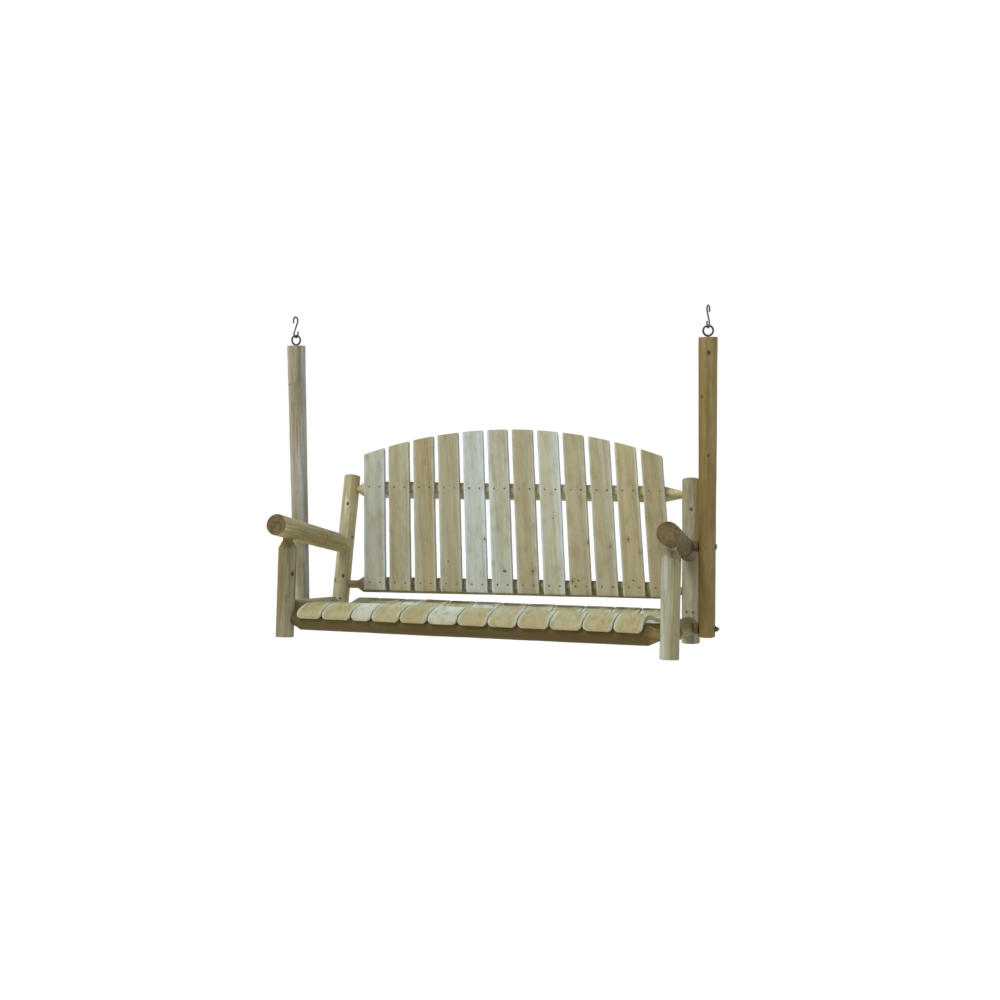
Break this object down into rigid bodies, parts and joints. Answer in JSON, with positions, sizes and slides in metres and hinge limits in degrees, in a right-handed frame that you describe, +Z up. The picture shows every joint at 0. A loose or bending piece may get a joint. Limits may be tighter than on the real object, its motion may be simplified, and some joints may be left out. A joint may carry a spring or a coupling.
{
  "type": "porch swing",
  "caption": "Two-seat porch swing of peeled cedar logs, with a rolled slatted seat, an arched slatted back, log armrests and two hanging posts that end in eye bolts and S-hooks",
  "frame": {"origin": "middle of the hang line, which joins the inner tops of the two S-hooks", "axes": "+X to the swing's right as seen from the front, +Y towards the back, +Z up; the front faces -Y"},
  "size_m": [1.6208, 0.7465, 1.1938],
  "materials": {
    "cedar_log": "peeled and sanded cedar log, dry, matt",
    "back_board": "sawn cedar board, dry, matt",
    "seat_board": "band-sawn cedar board, sanded, matt",
    "zinc_steel": "zinc-plated steel",
    "nail_steel": "dark galvanised steel"
  },
  "bodies": {
    "hooks": {"s_hook_left": "zinc_steel", "s_hook_right": "zinc_steel"},
    "swing": {"armrest_left": "cedar_log", "armrest_right": "cedar_log", "back_post_left": "cedar_log", "back_post_right": "cedar_log", "back_slat_01": "back_board", "back_slat_02": "back_board", "back_slat_03": "back_board", "back_slat_04": "back_board", "back_slat_05": "back_board", "back_slat_06": "back_board", "back_slat_07": "back_board", "back_slat_08": "back_board", "back_slat_09": "back_board", "back_slat_10": "back_board", "back_slat_11": "back_board", "back_slat_12": "back_board", "back_slat_nails": "nail_steel", "eye_bolt_left": "zinc_steel", "eye_bolt_right": "zinc_steel", "front_post_left": "cedar_log", "front_post_right": "cedar_log", "front_seat_rail": "cedar_log", "hanger_bolts_left": "zinc_steel", "hanger_bolts_right": "zinc_steel", "hanger_nut_left": "zinc_steel", "hanger_nut_right": "zinc_steel", "hanger_spacers_left": "cedar_log", "hanger_spacers_right": "cedar_log", "hanger_washer_left": "zinc_steel", "hanger_washer_right": "zinc_steel", "hanging_post_left": "cedar_log", "hanging_post_right": "cedar_log", "lower_back_rail": "cedar_log", "rear_seat_rail": "cedar_log", "seat_slat_01": "seat_board", "seat_slat_02": "seat_board", "seat_slat_03": "seat_board", "seat_slat_04": "seat_board", "seat_slat_05": "seat_board", "seat_slat_06": "seat_board", "seat_slat_07": "seat_board", "seat_slat_08": "seat_board", "seat_slat_09": "seat_board", "seat_slat_10": "seat_board", "seat_slat_11": "seat_board", "seat_slat_12": "seat_board", "seat_slat_screws": "nail_steel", "side_rail_left": "cedar_log", "side_rail_right": "cedar_log", "tenon_screws": "nail_steel", "top_back_rail": "cedar_log"}
  },
  "joints": [
    {"name": "swing", "type": "hinge", "parent": "hooks", "child": "swing", "pos_m": [0, 0, -0.0657], "axis": [1, 0, 0], "range_deg": [-30, 30]}
  ]
}
